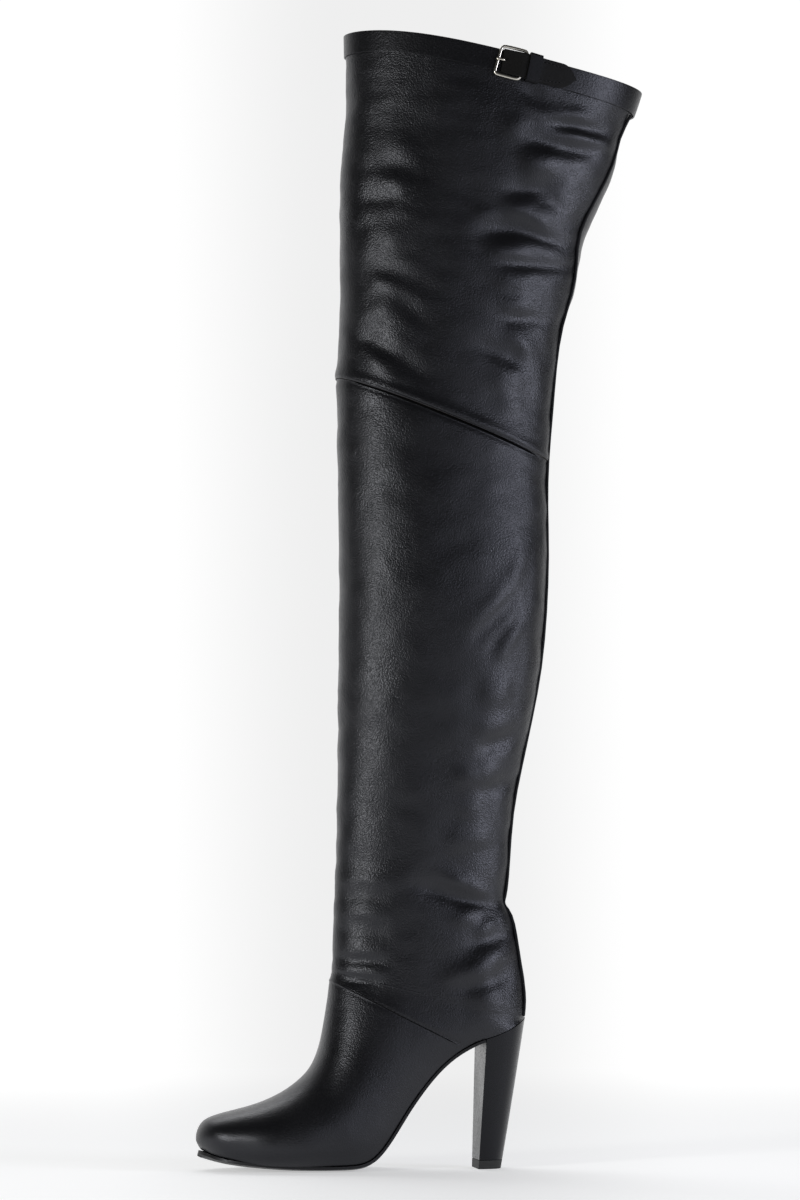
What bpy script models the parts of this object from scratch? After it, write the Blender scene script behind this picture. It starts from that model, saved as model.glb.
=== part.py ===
"""A thigh-high leather boot for the left foot, on a high block heel, with a buckled top band.

Metres, +Z up, +X towards the toe, +Y towards the outer side of the leg. The origin is on the
floor, under the middle of the forefoot tread.

The upper is one skin, read from a fan of stations. Each station is a plane section that runs
from a point on the front line (toe, vamp, shin) to a point on the back line (sole edge, heel
back, calf). Every other piece that touches the upper is cut from the same skin.
"""
import math

import bmesh
import bpy
import numpy as np
from mathutils import Vector

# Foot
FOOT_LENGTH = 0.235
BALL_WIDTH = 0.082
HEEL_HEIGHT = 0.105
INSTEP_RISE = 0.032

# Leg
LEG_HEIGHT = 0.656
CALF_DEPTH = 0.151
CALF_WIDTH = 0.092

# Walls and clearances
WALL = 0.002
GAP = 0.0003
PANEL_LAP = 0.0008
PANEL_LAP_LENGTH = 0.030
PANEL_LAP_FADE = 8.0

# Bottom
TREAD_THICKNESS = 0.0042
WAIST_THICKNESS = 0.0028
OUTSOLE_SIDE = 0.0020
OUTSOLE_BEVEL = 0.0090
OUTSOLE_LIP = 0.0008
INSOLE_THICKNESS = 0.0020
HEEL_SEAT_DEPTH = 0.0310
HEEL_LIP = 0.0003
HEEL_TIP_DEPTH = 0.0181
HEEL_TIP_WIDTH = 0.0310
HEEL_TIP_HEIGHT = 0.0060
HEEL_RAKE = 0.0040
HEEL_SWELL = 0.0003

# Top band, strap and buckle
BAND_HEIGHT = 0.0155
BAND_THICKNESS = 0.0012
BUCKLE_AROUND = 0.512
BUCKLE_WIDTH = 0.0165
BUCKLE_HEIGHT = 0.0200
BUCKLE_CORNER = 0.0026
BUCKLE_WIRE = 0.0013
BUCKLE_LEAN = 0.12
PRONG_WIRE = 0.0009
PRONG_ROOT = 0.25
STRAP_WIDTH = 0.0165
STRAP_THICKNESS = 0.0016
STRAP_TAIL = 0.0510
STRAP_POINT = 0.0120
KEEPER_WIDTH = 0.0095
KEEPER_THICKNESS = 0.0012
KEEPER_CLEARANCE = 0.0005

# Back seam
SEAM_WIDTH = 0.0022
SEAM_HEIGHT = 0.0009

# Mesh
AROUND = 32
TOP_FULLNESS = 2.15
LEG_FULLNESS = 2.2
RISE_PEAK = 9.48
PROBES_PER_ROW = 100.0
REACHES_PER_ROW = 12.5
WELD = 0.00002

ANKLE_HEIGHT = HEEL_HEIGHT + INSTEP_RISE
SHIN_X = -0.036 * FOOT_LENGTH

# Leg stations from the collar down. Depths are behind the shin line, as shares of CALF_DEPTH.
# Heights are above the ankle, as shares of LEG_HEIGHT. The half width is a share of CALF_WIDTH,
# and the seam is how far the back seam stands towards the outer side, as a share of half a turn.
# The rise is how far the station arches up in its front half, as a share of CALF_DEPTH.
LEG = (
    # place          front    front    back     back     half    seam    rise
    #                depth    height   depth    height   width
    ("collar",       0.033,   1.000,   1.430,   0.943,   0.565,  0.085,  0.026),
    ("band foot",    0.035,   0.977,   1.393,   0.918,   0.560,  0.085,  0.026),
    ("gather",       0.037,   0.950,   1.327,   0.893,   0.555,  0.075,  0.015),
    ("thigh top",    0.033,   0.923,   1.322,   0.864,   0.545,  0.105,  0.000),
    ("thigh",        0.019,   0.882,   1.243,   0.822,   0.530,  0.135,  0.000),
    ("thigh fold",   0.005,   0.843,   1.156,   0.785,   0.520,  0.140,  0.000),
    ("thigh swell",  0.005,   0.810,   1.138,   0.755,   0.515,  0.105,  0.000),
    ("mid thigh",    0.009,   0.775,   1.117,   0.725,   0.510,  0.095,  0.000),
    ("low thigh",    0.009,   0.735,   1.057,   0.690,   0.500,  0.090,  0.000),
    ("over knee",    0.006,   0.690,   1.026,   0.645,   0.485,  0.080,  0.000),
    ("knee back",   -0.002,   0.660,   1.008,   0.595,   0.475,  0.065,  0.000),
    ("knee seam",   -0.009,   0.631,   0.985,   0.543,   0.470,  0.060,  0.000),
    ("under knee",  -0.005,   0.576,   0.981,   0.496,   0.475,  0.060,  0.000),
    ("calf top",     0.000,   0.512,   0.988,   0.442,   0.490,  0.060,  0.000),
    ("calf",         0.005,   0.438,   0.978,   0.382,   0.500,  0.065,  0.000),
    ("calf low",     0.005,   0.352,   0.956,   0.322,   0.480,  0.070,  0.000),
    ("calf foot",    0.000,   0.278,   0.910,   0.269,   0.445,  0.070,  0.000),
    ("low leg",      0.000,   0.219,   0.860,   0.216,   0.405,  0.075,  0.000),
    ("ankle top",   -0.005,   0.165,   0.818,   0.169,   0.370,  0.080,  0.000),
    ("ankle",       -0.009,   0.117,   0.805,   0.115,   0.345,  0.080,  0.000),
    ("notch top",   -0.016,   0.085,   0.795,   0.085,   0.335,  0.080,  0.000),
    ("notch",       -0.019,   0.070,   0.779,   0.071,   0.332,  0.080,  0.000),
    ("notch foot",  -0.021,   0.058,   0.822,   0.060,   0.333,  0.085,  0.000),
    ("heel top",    -0.023,   0.041,   0.843,   0.038,   0.335,  0.095,  0.000),
    ("heel curve",  -0.023,   0.026,   0.860,   0.014,   0.336,  0.100,  0.000),
    ("heel bulge",  -0.026,   0.013,   0.882,  -0.016,   0.337,  0.100,  0.000),
)

# Foot stations from the heel back to the toe. Lengths are ahead of the origin, as shares of
# FOOT_LENGTH. The front height is a share of the ankle height and the low height a share of
# HEEL_HEIGHT. The outer and inner half widths are shares of BALL_WIDTH. The feather is how much
# of that width is left where the skin meets the sole, and the sag is a share of BALL_WIDTH.
FOOT = (
    # place          front    front    low      low      outer   inner   feather  full   sag
    #                length   height   length   height   width   width
    ("heel back",   -0.018,   1.020,  -0.603,   1.105,   0.378,  0.378,  0.00,    2.6,   0.00),
    ("heel end",    -0.018,   1.000,  -0.597,   1.000,   0.378,  0.378,  0.00,    2.7,   0.00),
    ("seat rear",   -0.018,   0.996,  -0.584,   0.984,   0.378,  0.375,  0.42,    2.7,   0.00),
    ("seat",        -0.017,   0.990,  -0.548,   0.932,   0.380,  0.370,  0.74,    2.7,   0.01),
    ("breast",      -0.015,   0.977,  -0.488,   0.877,   0.385,  0.370,  0.84,    2.6,   0.02),
    ("vamp seam",   -0.012,   0.954,  -0.434,   0.840,   0.390,  0.366,  0.83,    2.5,   0.04),
    ("waist high",  -0.007,   0.878,  -0.367,   0.760,   0.400,  0.366,  0.79,    2.4,   0.02),
    ("waist",        0.002,   0.776,  -0.303,   0.624,   0.410,  0.370,  0.76,    2.4,   0.00),
    ("waist low",    0.012,   0.673,  -0.241,   0.438,   0.430,  0.375,  0.76,    2.4,   0.00),
    ("arch root",    0.026,   0.587,  -0.184,   0.238,   0.455,  0.390,  0.78,    2.4,   0.00),
    ("tread rear",   0.044,   0.520,  -0.133,   0.093,   0.480,  0.420,  0.80,    2.4,   0.00),
    ("outer ball",   0.072,   0.462,  -0.074,   0.040,   0.500,  0.455,  0.82,    2.4,   0.00),
    ("ball",         0.120,   0.393,   0.009,   0.038,   0.505,  0.495,  0.84,    2.4,   0.00),
    ("inner ball",   0.202,   0.329,   0.111,   0.041,   0.478,  0.505,  0.86,    2.4,   0.00),
    ("toe root",     0.286,   0.299,   0.217,   0.060,   0.420,  0.440,  0.88,    2.4,   0.00),
    ("toe",          0.348,   0.270,   0.285,   0.080,   0.350,  0.360,  0.90,    2.4,   0.00),
    ("toe cap",      0.377,   0.214,   0.332,   0.104,   0.240,  0.250,  0.93,    2.4,   0.00),
    ("toe front",    0.383,   0.154,   0.353,   0.122,   0.130,  0.140,  0.96,    2.4,   0.00),
    ("toe end",      0.369,   0.1042,  0.369,   0.136,   0.000,  0.000,  0.98,    2.4,   0.00),
)

NAMES = [row[0] for row in LEG + FOOT]
COLLAR = float(NAMES.index("collar"))
KNEE_SEAM = float(NAMES.index("knee seam"))
HEEL_END = float(NAMES.index("heel end"))
VAMP_SEAM = float(NAMES.index("vamp seam"))
TOE_END = float(NAMES.index("toe end"))


def leg_station(row):
    """One row of LEG in metres, in the columns that every station has."""
    _, front_depth, front_height, back_depth, back_height, half, seam, rise = row
    return (SHIN_X - front_depth * CALF_DEPTH, ANKLE_HEIGHT + front_height * LEG_HEIGHT,
            SHIN_X - back_depth * CALF_DEPTH, ANKLE_HEIGHT + back_height * LEG_HEIGHT,
            half * CALF_WIDTH, half * CALF_WIDTH, 0.0, LEG_FULLNESS, 0.0, rise * CALF_DEPTH, seam)


def foot_station(row):
    """One row of FOOT in metres, in the same columns."""
    _, front, front_height, low, low_height, outer, inner, feather, full, sag = row
    return (front * FOOT_LENGTH, front_height * ANKLE_HEIGHT,
            low * FOOT_LENGTH, low_height * HEEL_HEIGHT,
            outer * BALL_WIDTH, inner * BALL_WIDTH, feather, full, sag * BALL_WIDTH, 0.0,
            LEG[-1][6])


STATIONS = np.array([leg_station(row) for row in LEG] + [foot_station(row) for row in FOOT])
STATIONS = np.vstack((2 * STATIONS[0] - STATIONS[1], STATIONS, 2 * STATIONS[-1] - STATIONS[-2]))


def station(place):
    """The station at a fractional row number, on a smooth curve through the rows."""
    index = min(max(int(math.floor(place)), 0), len(NAMES) - 2)
    share = place - index
    before, start, end, after = STATIONS[index:index + 4]
    return 0.5 * (2 * start + (end - before) * share
                  + (2 * before - 5 * start + 4 * end - after) * share ** 2
                  + (3 * start - before - 3 * end + after) * share ** 3)


def skin_point(place, around):
    """A point of the outer skin. Around runs from 0 at the front line to 1 at the back line or
    sole edge on the outer side, and to -1 there on the inner side."""
    if around > 1:
        around -= 2
    if around < -1:
        around += 2
    front_x, front_z, back_x, back_z, outer, inner, feather, full, sag, rise, _ = station(place)
    feather = min(max(feather, 0.0), 1.0)
    limit = math.pi - math.asin(feather ** (full / 2))
    angle = abs(around) * limit
    power = 2 / (TOP_FULLNESS if angle < math.pi / 2 else full)
    side = abs(math.sin(angle)) ** power
    reach = math.copysign(abs(math.cos(angle)) ** power, math.cos(angle))
    low_reach = -abs(math.cos(limit)) ** (2 / full)
    share = (reach - low_reach) / (1 - low_reach)
    front, back = Vector((front_x, 0, front_z)), Vector((back_x, 0, back_z))
    point = back.lerp(front, share)
    chord = (front - back).normalized()
    arch = rise * RISE_PEAK * share ** 3 * (1 - share) - sag * 4 * share * (1 - share)
    point += Vector((-chord.z, 0, chord.x)) * arch
    point.y = side * (outer if around > 0 else -inner)
    return point


def skin(place, around, lift=0.0):
    """A point that stands off the outer skin by the lift."""
    point = skin_point(place, around)
    if lift == 0.0:
        return point
    probe = 1 / PROBES_PER_ROW
    down = skin_point(place + probe, around) - skin_point(place - probe, around)
    back = skin_point(place, around + probe) - skin_point(place, around - probe)
    return point + down.cross(back).normalized() * lift


def places_per_metre(place, around):
    """How many rows one metre of skin spans here."""
    reach = 1 / REACHES_PER_ROW
    span = skin_point(place + reach, around) - skin_point(place - reach, around)
    return 2 * reach / span.length


def around_per_metre(place, around):
    """How much of the half turn one metre of skin spans here."""
    reach = 1 / REACHES_PER_ROW
    span = skin_point(place, around + reach) - skin_point(place, around - reach)
    return 2 * reach / span.length


def material(name, colour, roughness, metallic=0.0):
    """One Principled material."""
    made = bpy.data.materials.new(name)
    made.use_nodes = True
    shader = made.node_tree.nodes["Principled BSDF"]
    shader.inputs["Base Color"].default_value = (*colour, 1.0)
    shader.inputs["Roughness"].default_value = roughness
    shader.inputs["Metallic"].default_value = metallic
    made.diffuse_color = (*colour, 1.0)
    return made


def add_object(name, mesh, finish, sharp_degrees=40):
    """Puts a finished mesh in the scene, smooth but for its sharp edges."""
    mesh.shade_smooth()
    mesh.set_sharp_from_angle(angle=math.radians(sharp_degrees))
    mesh.materials.append(finish)
    made = bpy.data.objects.new(name, mesh)
    bpy.context.scene.collection.objects.link(made)
    return made


def add_sheet(name, places, lift, thickness, direction, finish):
    """A band of the skin, thickened inwards (direction -1) or outwards (1) into one shell."""
    shape = bmesh.new()
    grid = []
    for place in places:
        turns = [1 - 2 * step / AROUND for step in range(AROUND + 1)]
        grid.append([shape.verts.new(skin(place, turn, lift(place, turn))) for turn in turns])
    for upper_row, lower_row in zip(grid, grid[1:]):
        for step in range(AROUND):
            shape.faces.new((upper_row[step], upper_row[step + 1], lower_row[step + 1], lower_row[step]))
    bmesh.ops.remove_doubles(shape, verts=shape.verts, dist=WELD)
    mesh = bpy.data.meshes.new(name)
    shape.to_mesh(mesh)
    shape.free()
    made = add_object(name, mesh, finish)
    shell = made.modifiers.new("wall", "SOLIDIFY")
    shell.thickness = thickness
    shell.offset = direction
    shell.use_even_offset = True
    return made


def rim_of(grid):
    """The outer loop of a grid of points, in order."""
    rows, columns = len(grid), len(grid[0])
    loop = [(row, 0) for row in range(rows)]
    loop += [(rows - 1, column) for column in range(1, columns)]
    loop += [(row, columns - 1) for row in range(rows - 2, -1, -1)]
    loop += [(0, column) for column in range(columns - 2, 0, -1)]
    return loop


def add_block(name, layers, finish, sharp_degrees=40):
    """A closed block from a stack of like grids. The first and last are its two skins."""
    shape = bmesh.new()
    rim = rim_of(layers[0])
    loops = []
    for number, layer in enumerate(layers):
        if number in (0, len(layers) - 1):
            verts = [[shape.verts.new(point) for point in row] for row in layer]
            for row, next_row in zip(verts, verts[1:]):
                for column in range(len(row) - 1):
                    shape.faces.new((row[column], row[column + 1], next_row[column + 1], next_row[column]))
            loops.append([verts[row][column] for row, column in rim])
        else:
            loops.append([shape.verts.new(layer[row][column]) for row, column in rim])
    for loop, next_loop in zip(loops, loops[1:]):
        for step in range(len(rim)):
            following = (step + 1) % len(rim)
            shape.faces.new((loop[step], loop[following], next_loop[following], next_loop[step]))
    bmesh.ops.recalc_face_normals(shape, faces=shape.faces)
    if shape.calc_volume(signed=True) < 0:
        bmesh.ops.reverse_faces(shape, faces=shape.faces)
    mesh = bpy.data.meshes.new(name)
    shape.to_mesh(mesh)
    shape.free()
    return add_object(name, mesh, finish, sharp_degrees)


def add_wire(name, points, radius, cyclic, finish):
    """A round bar along the points."""
    curve = bpy.data.curves.new(name, "CURVE")
    curve.dimensions = "3D"
    curve.bevel_depth = radius
    curve.bevel_resolution = 2
    curve.use_fill_caps = True
    spline = curve.splines.new("POLY")
    spline.points.add(len(points) - 1)
    for knot, point in zip(spline.points, points):
        knot.co = (*point, 1.0)
    spline.use_cyclic_u = cyclic
    curve.materials.append(finish)
    made = bpy.data.objects.new(name, curve)
    bpy.context.scene.collection.objects.link(made)
    return made


def upper_places():
    """The rows of the upper from the knee to the toe, closer together where the foot bends."""
    rows = range(int(KNEE_SEAM) + 1, int(TOE_END) + 1)
    bends = [HEEL_END + share for share in (0.5, 1.5, 2.5, 3.5)]
    bends += [TOE_END - share for share in (0.4, 0.8, 1.5, 2.5, 7.5, 8.5, 9.5)]
    return sorted([float(row) for row in rows] + bends)


class BottomLine:
    """The line where the skin meets the sole, from the toe back to the heel, laid out by its
    own length, with the half widths of the opening under the foot."""

    def __init__(self, samples=400):
        places = np.linspace(TOE_END, HEEL_END, samples)
        rows = [station(place) for place in places]
        self.places = places
        self.x = np.array([row[2] for row in rows])
        self.z = np.array([row[3] for row in rows])
        self.run = np.concatenate(([0.0], np.cumsum(np.hypot(np.diff(self.x), np.diff(self.z)))))
        self.outer = np.array([row[4] * max(row[6], 0.0) for row in rows])
        self.inner = np.array([row[5] * max(row[6], 0.0) for row in rows])

    def widths(self, run, spread):
        """The two half widths at a run, with the outline moved outwards by the spread."""
        found = []
        for width in (self.outer, self.inner):
            run_step, width_step = np.gradient(self.run), np.gradient(width)
            size = np.hypot(run_step, width_step)
            moved_run = self.run - width_step / size * spread
            moved_width = width + run_step / size * spread
            order = np.argsort(moved_run)
            found.append(float(np.interp(run, moved_run[order], moved_width[order])))
        return found

    def point(self, run, depth):
        """A point of the line at a run, moved down off the foot by the depth."""
        inside = min(max(run, self.run[0]), self.run[-1])
        x = np.interp(inside, self.run, self.x)
        z = np.interp(inside, self.run, self.z)
        step = 0.002
        low, high = max(inside - step, self.run[0]), min(inside + step, self.run[-1])
        run_x = np.interp(high, self.run, self.x) - np.interp(low, self.run, self.x)
        run_z = np.interp(high, self.run, self.z) - np.interp(low, self.run, self.z)
        size = math.hypot(run_x, run_z)
        tangent_x, tangent_z = run_x / size, run_z / size
        return (x + tangent_x * (run - inside) - tangent_z * depth,
                z + tangent_z * (run - inside) + tangent_x * depth)

    def run_at(self, x):
        """The run where the line passes this length."""
        return float(np.interp(-x, -self.x, self.run))

    def run_of(self, name):
        """The run at a named row."""
        return float(np.interp(-NAMES.index(name), -self.places, self.run))

    def rungs(self, start, end):
        """Runs from start to end, one at each row of the upper, so that pieces lie along it."""
        at_rows = [float(np.interp(-place, -self.places, self.run)) for place in upper_places()]
        between = [run for run in at_rows if start + WALL / 4 < run < end - WALL / 4]
        return [start] + sorted(between) + [end]

    def ladder(self, runs, across, spread, depth, inset=0.0, floor=-1.0, stop=-1.0):
        """A grid of points over the opening, widened by the spread, at a depth under it. It goes
        no lower than the floor and no further back than the stop."""
        grid = []
        for run in runs:
            outer, inner = (max(width - inset, width * 0.4) for width in self.widths(run, spread))
            x, z = self.point(run, depth(run) if callable(depth) else depth)
            x, z = max(x, stop), max(z, floor)
            rung = [outer + (-inner - outer) * step / across for step in range(across + 1)]
            grid.append([Vector((x, y, z)) for y in rung])
        return grid


def lap_lift(turn):
    """How far a lapped edge stands out. It fades to nothing at the sole edge and the back seam."""
    return PANEL_LAP * min((1 - abs(turn)) * PANEL_LAP_FADE, 1)


def make_upper(finish):
    """Foot and lower leg in one hollow solid, with the leg panel lapped over the vamp."""
    start = KNEE_SEAM + GAP / 2 * places_per_metre(KNEE_SEAM, 0.5)
    under_lap = VAMP_SEAM + PANEL_LAP * places_per_metre(VAMP_SEAM, 0.5)
    places = sorted([start, under_lap] + upper_places())

    def lap(place, turn):
        return lap_lift(turn) if place == VAMP_SEAM else 0.0

    return add_sheet("upper", places, lap, WALL, -1, finish)


def make_thigh_shaft(finish):
    """The wide panel from the knee seam to the collar, lapped over the lower leg."""
    rate = places_per_metre(KNEE_SEAM, 0.5)
    end = KNEE_SEAM - GAP / 2 * rate
    places = [float(place) for place in range(int(COLLAR), int(KNEE_SEAM))]
    places += [KNEE_SEAM - PANEL_LAP_LENGTH / 2 * rate, end]

    def lap(place, turn):
        return lap_lift(turn) if place == end else 0.0

    return add_sheet("thigh_shaft", sorted(places), lap, WALL, -1, finish)


def make_top_band(finish):
    """The stitched band around the collar, on the outside of the thigh panel."""
    foot = COLLAR + BAND_HEIGHT * places_per_metre(COLLAR + 0.5, 0.5)
    places = [COLLAR, COLLAR + (foot - COLLAR) / 2, foot]
    return add_sheet("top_band", places, lambda place, turn: GAP, BAND_THICKNESS, 1, finish)


def make_back_seam(finish):
    """The raised seam down the back, from under the band to the heel."""
    top = COLLAR + (BAND_HEIGHT + 0.001) * places_per_metre(COLLAR + 0.5, 0.5)
    rows = range(int(top) + 1, int(HEEL_END))
    places = [top] + [float(row) for row in rows] + [HEEL_END - 0.1]
    layers = []
    for lift, narrow in ((2 * GAP, 1.0), (2 * GAP + SEAM_HEIGHT, 0.5)):
        grid = []
        for place in places:
            middle = 1 - station(place)[-1]
            half = SEAM_WIDTH / 2 * narrow * around_per_metre(place, middle)
            grid.append([skin(place, middle - half, lift), skin(place, middle + half, lift)])
        layers.append(grid)
    return add_block("back_seam", layers, finish)


def make_outsole(line, finish):
    """The thin sole under the forefoot and waist, flat where it treads."""
    front = line.run[0] - OUTSOLE_LIP * 0.7
    stop = breast_x() + HEEL_RAKE * WAIST_THICKNESS / HEEL_HEIGHT * 2 + GAP
    runs = line.rungs(front, line.run_at(stop))
    tread_end, waist_start = line.run_of("outer ball"), line.run_of("arch root")

    def underside(run):
        return GAP + float(np.interp(run, [tread_end, waist_start], [TREAD_THICKNESS, WAIST_THICKNESS]))

    layers = [line.ladder(runs, 6, OUTSOLE_LIP, GAP),
              line.ladder(runs, 6, OUTSOLE_LIP, GAP + OUTSOLE_SIDE, 0.0, 0.0, stop),
              line.ladder(runs, 6, OUTSOLE_LIP, underside, OUTSOLE_BEVEL, 0.0, stop)]
    return add_block("outsole", layers, finish)


def make_insole(line, finish):
    """The board under the foot, inside the wall of the upper."""
    room = WALL + 2 * GAP
    end_room = WALL + 3 * GAP
    runs = line.rungs(line.run[0] + end_room, line.run[-1] - end_room)
    layers = [line.ladder(runs, 4, -room, -INSOLE_THICKNESS), line.ladder(runs, 4, -room, 0.0)]
    return add_block("insole", layers, finish)


def breast_x():
    """The front face of the heel, where it meets the sole."""
    heel_back = FOOT[1][3] * FOOT_LENGTH
    return heel_back + HEEL_SEAT_DEPTH


def heel_layers(line, heights):
    """The seat's outline drawn down to the tip, as one grid for each height."""
    runs = line.rungs(line.run_at(breast_x()), line.run[-1] + HEEL_LIP * 0.7)
    seat = line.ladder(runs, 6, HEEL_LIP, GAP)
    half = max(abs(point.y) for row in seat for point in row)
    front = seat[0][0].x
    depth = front - seat[-1][0].x
    tip_front = front + HEEL_RAKE
    layers = []
    for height in heights:
        layer = []
        for row in seat:
            points = []
            for point in row:
                back_share = (front - point.x) / depth
                tip = Vector((tip_front - back_share * HEEL_TIP_DEPTH,
                              point.y / half * HEEL_TIP_WIDTH / 2, 0.0))
                fall = min((point.z - height) / point.z, 1.0) if height else 1.0
                swell = HEEL_SWELL * 4 * fall * (1 - fall) * back_share
                place = point.lerp(tip, fall)
                points.append(Vector((place.x - swell, place.y, height)))
            layer.append(points)
        layers.append(layer)
    return seat, layers


def make_heel(line, finish):
    """The covered block heel, from the seat down to the tip."""
    foot = HEEL_TIP_HEIGHT + GAP
    breast_height = line.point(line.run_at(breast_x()), 0.0)[1]
    seat, lower = heel_layers(line, [breast_height * share for share in (0.75, 0.50, 0.25)] + [foot])
    return add_block("heel", [seat] + lower, finish)


def make_heel_tip(line, finish):
    """The rubber tip, flat on the floor."""
    _, layers = heel_layers(line, [HEEL_TIP_HEIGHT, 0.0])
    return add_block("heel_tip", layers, finish)


def on_band(along, up, lift):
    """A point over the band. Along runs back from the buckle's middle, and up from mid band."""
    middle = COLLAR + BAND_HEIGHT / 2 * places_per_metre(COLLAR + 0.5, BUCKLE_AROUND)
    place = middle - up * places_per_metre(middle, BUCKLE_AROUND)
    around = BUCKLE_AROUND + along * around_per_metre(middle, BUCKLE_AROUND)
    return skin(place, around, GAP + BAND_THICKNESS + GAP + lift)


# How high the strap's underside lies over the band, along its way. It comes up inside the
# buckle, climbs over the far bar and lies down again behind the keeper.
STRAP_WAY = (
    # along the strap, as a share of the buckle's width, and lift, as a share of the bar
    (-0.33, 0.00),
    (0.00, 0.60),
    (0.30, 2.10),
    (0.50, 2.40),
    (0.72, 2.10),
    (1.00, 1.20),
    (1.40, 0.20),
    (2.00, 0.00),
)


def strap_lift(along):
    """The lift of the strap's underside at a distance behind the buckle's middle."""
    places = [row[0] * BUCKLE_WIDTH for row in STRAP_WAY]
    lifts = [row[1] * BUCKLE_WIRE for row in STRAP_WAY]
    return float(np.interp(along, places, lifts))


def make_strap(finish):
    """The strap's tail, from inside the buckle to its pointed end."""
    start = STRAP_WAY[0][0] * BUCKLE_WIDTH
    tail_start = STRAP_TAIL - STRAP_POINT
    alongs = [start + (tail_start - start) * step / 14 for step in range(15)]
    alongs += [tail_start + STRAP_POINT * math.sin(math.pi / 2 * step / 5) for step in range(1, 6)]
    under, over = [], []
    for along in alongs:
        past = max(along - tail_start, 0.0) / STRAP_POINT
        half = STRAP_WIDTH / 2 * max(1 - past ** 1.8, 0.12)
        ups = [half * (1 - step / 2) for step in range(5)]
        under.append([on_band(along, up, strap_lift(along)) for up in ups])
        over.append([on_band(along, up, strap_lift(along) + STRAP_THICKNESS) for up in ups])
    return add_block("strap", [under, over], finish)


def make_keeper_loop(finish):
    """The loop that holds the strap down, bridged over it and back to the band."""
    far_bar = BUCKLE_WIDTH / 2 + BUCKLE_LEAN * STRAP_WIDTH / 2 + BUCKLE_WIRE
    start = far_bar + KEEPER_CLEARANCE
    alongs = [start + KEEPER_WIDTH * step / 4 for step in range(5)]
    inside = STRAP_WIDTH / 2 + GAP
    outside = inside + KEEPER_THICKNESS
    under, over = [], []
    for along in alongs:
        clear = strap_lift(along) + STRAP_THICKNESS + GAP
        ways = ((outside, 0.0), (inside, 0.0), (inside - GAP / 2, clear), (0.0, clear),
                (GAP / 2 - inside, clear), (-inside, 0.0), (-outside, 0.0))
        under.append([on_band(along, up, lift) for up, lift in ways])
        top = clear + KEEPER_THICKNESS
        over.append([on_band(along, up, top if abs(up) < outside else clear) for up, _ in ways])
    return add_block("keeper_loop", [under, over], finish)


def make_buckle_frame(finish):
    """The square wire frame, lying on the band. Its two side bars lean back."""
    half_width = BUCKLE_WIDTH / 2 - BUCKLE_CORNER
    half_height = BUCKLE_HEIGHT / 2 - BUCKLE_CORNER
    points = []
    for quarter, (side, up) in enumerate(((1, 1), (-1, 1), (-1, -1), (1, -1))):
        for step in range(5):
            angle = math.pi / 2 * (quarter + step / 4)
            along = side * half_width + BUCKLE_CORNER * math.cos(angle)
            rise = up * half_height + BUCKLE_CORNER * math.sin(angle)
            points.append(on_band(along + BUCKLE_LEAN * rise, rise, BUCKLE_WIRE))
    return add_wire("buckle_frame", points, BUCKLE_WIRE, True, finish)


def make_buckle_prong(finish):
    """The prong, out of the strap's hole and over the near bar."""
    near = -BUCKLE_WIDTH / 2
    over_bar = 2 * BUCKLE_WIRE + GAP + PRONG_WIRE
    root = -PRONG_ROOT * BUCKLE_WIDTH
    over_strap = strap_lift(root) + STRAP_THICKNESS + GAP + PRONG_WIRE
    ways = ((root, over_strap + PRONG_WIRE / 2), ((root + near) / 2, over_bar + PRONG_WIRE / 2),
            (near, over_bar), (near - 1.4 * BUCKLE_WIRE, over_bar - PRONG_WIRE / 4))
    points = [on_band(along, 0.0, lift) for along, lift in ways]
    return add_wire("buckle_prong", points, PRONG_WIRE, False, finish)


def make_boot():
    """Builds every piece of the boot."""
    for old in list(bpy.data.objects):
        bpy.data.objects.remove(old, do_unlink=True)
    calf = material("black_calf_leather", (0.012, 0.012, 0.013), 0.42)
    heel_cover = material("black_glazed_leather", (0.010, 0.010, 0.011), 0.22)
    sole = material("black_sole_leather", (0.014, 0.013, 0.013), 0.38)
    rubber = material("black_rubber", (0.015, 0.015, 0.015), 0.70)
    lining = material("insole_leather", (0.030, 0.028, 0.027), 0.65)
    nickel = material("polished_nickel", (0.62, 0.61, 0.58), 0.18, 1.0)

    line = BottomLine()
    make_upper(calf)
    make_thigh_shaft(calf)
    make_top_band(calf)
    make_back_seam(calf)
    make_outsole(line, sole)
    make_insole(line, lining)
    make_heel(line, heel_cover)
    make_heel_tip(line, rubber)
    make_strap(calf)
    make_keeper_loop(calf)
    make_buckle_frame(nickel)
    make_buckle_prong(nickel)


make_boot()
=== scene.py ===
# %% [markdown]
# # A thigh-high leather boot
# The boot stands on its sole and heel, seen from its outer side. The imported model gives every
# solid in its real place and size. This lesson dresses those solids: it copies the plain shells,
# refines them, presses the creases of worn leather into them and gives each piece its material.

# %% Load the frame
import math

import bmesh
import bpy
import numpy as np
from mathutils import Matrix, Vector, noise
from mathutils.kdtree import KDTree


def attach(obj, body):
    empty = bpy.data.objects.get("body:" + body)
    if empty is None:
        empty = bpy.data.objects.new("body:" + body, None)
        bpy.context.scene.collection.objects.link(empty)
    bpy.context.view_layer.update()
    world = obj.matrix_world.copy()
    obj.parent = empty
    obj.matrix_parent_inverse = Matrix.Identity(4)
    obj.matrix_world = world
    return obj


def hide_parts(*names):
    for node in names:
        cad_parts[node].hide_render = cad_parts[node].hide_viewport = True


MM = 0.001

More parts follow.
